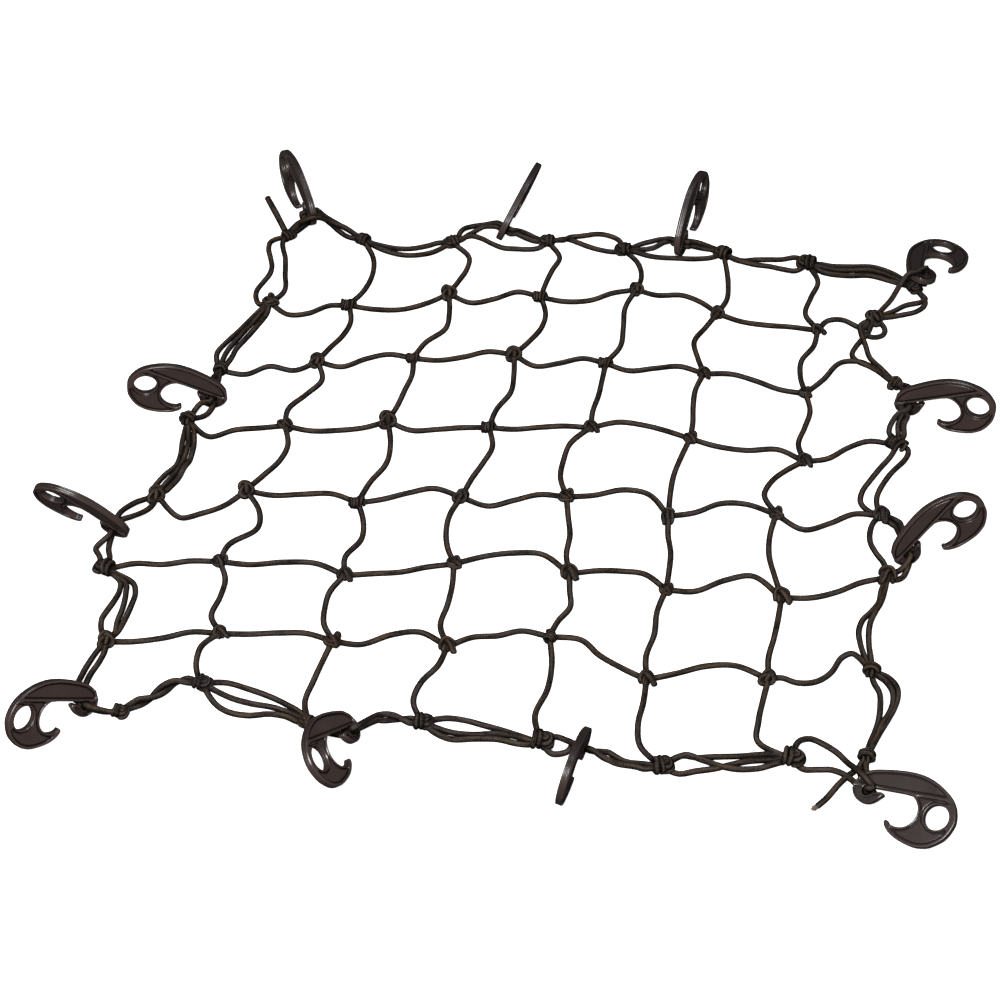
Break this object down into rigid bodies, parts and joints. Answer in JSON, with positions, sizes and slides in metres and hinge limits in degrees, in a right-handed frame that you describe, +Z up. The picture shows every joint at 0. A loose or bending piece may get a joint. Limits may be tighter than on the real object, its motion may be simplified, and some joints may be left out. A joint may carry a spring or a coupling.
{
  "type": "cargo net",
  "caption": "Square cargo net of knotted black elastic cord, lying slack, with a doubled border and moulded plastic hooks clipped round its edge.",
  "frame": {"origin": "middle of the bounding box, on the surface that the net lies on", "axes": "+Z is up out of the net, X runs along its rows and +Y runs towards its back edge"},
  "size_m": [0.8914, 0.893, 0.0776],
  "materials": {
    "cord": "braided",
    "hook": "satin moulded"
  },
  "bodies": {
    "root": {"mesh": "cord", "border": "cord", "hook_back_1": "hook", "hook_back_2": "hook", "hook_back_3": "hook", "hook_back_4": "hook", "hook_right_1": "hook", "hook_right_2": "hook", "hook_front_4": "hook", "hook_front_3": "hook", "hook_front_2": "hook", "hook_front_1": "hook", "hook_left_2": "hook", "hook_left_1": "hook"}
  },
  "joints": []
}
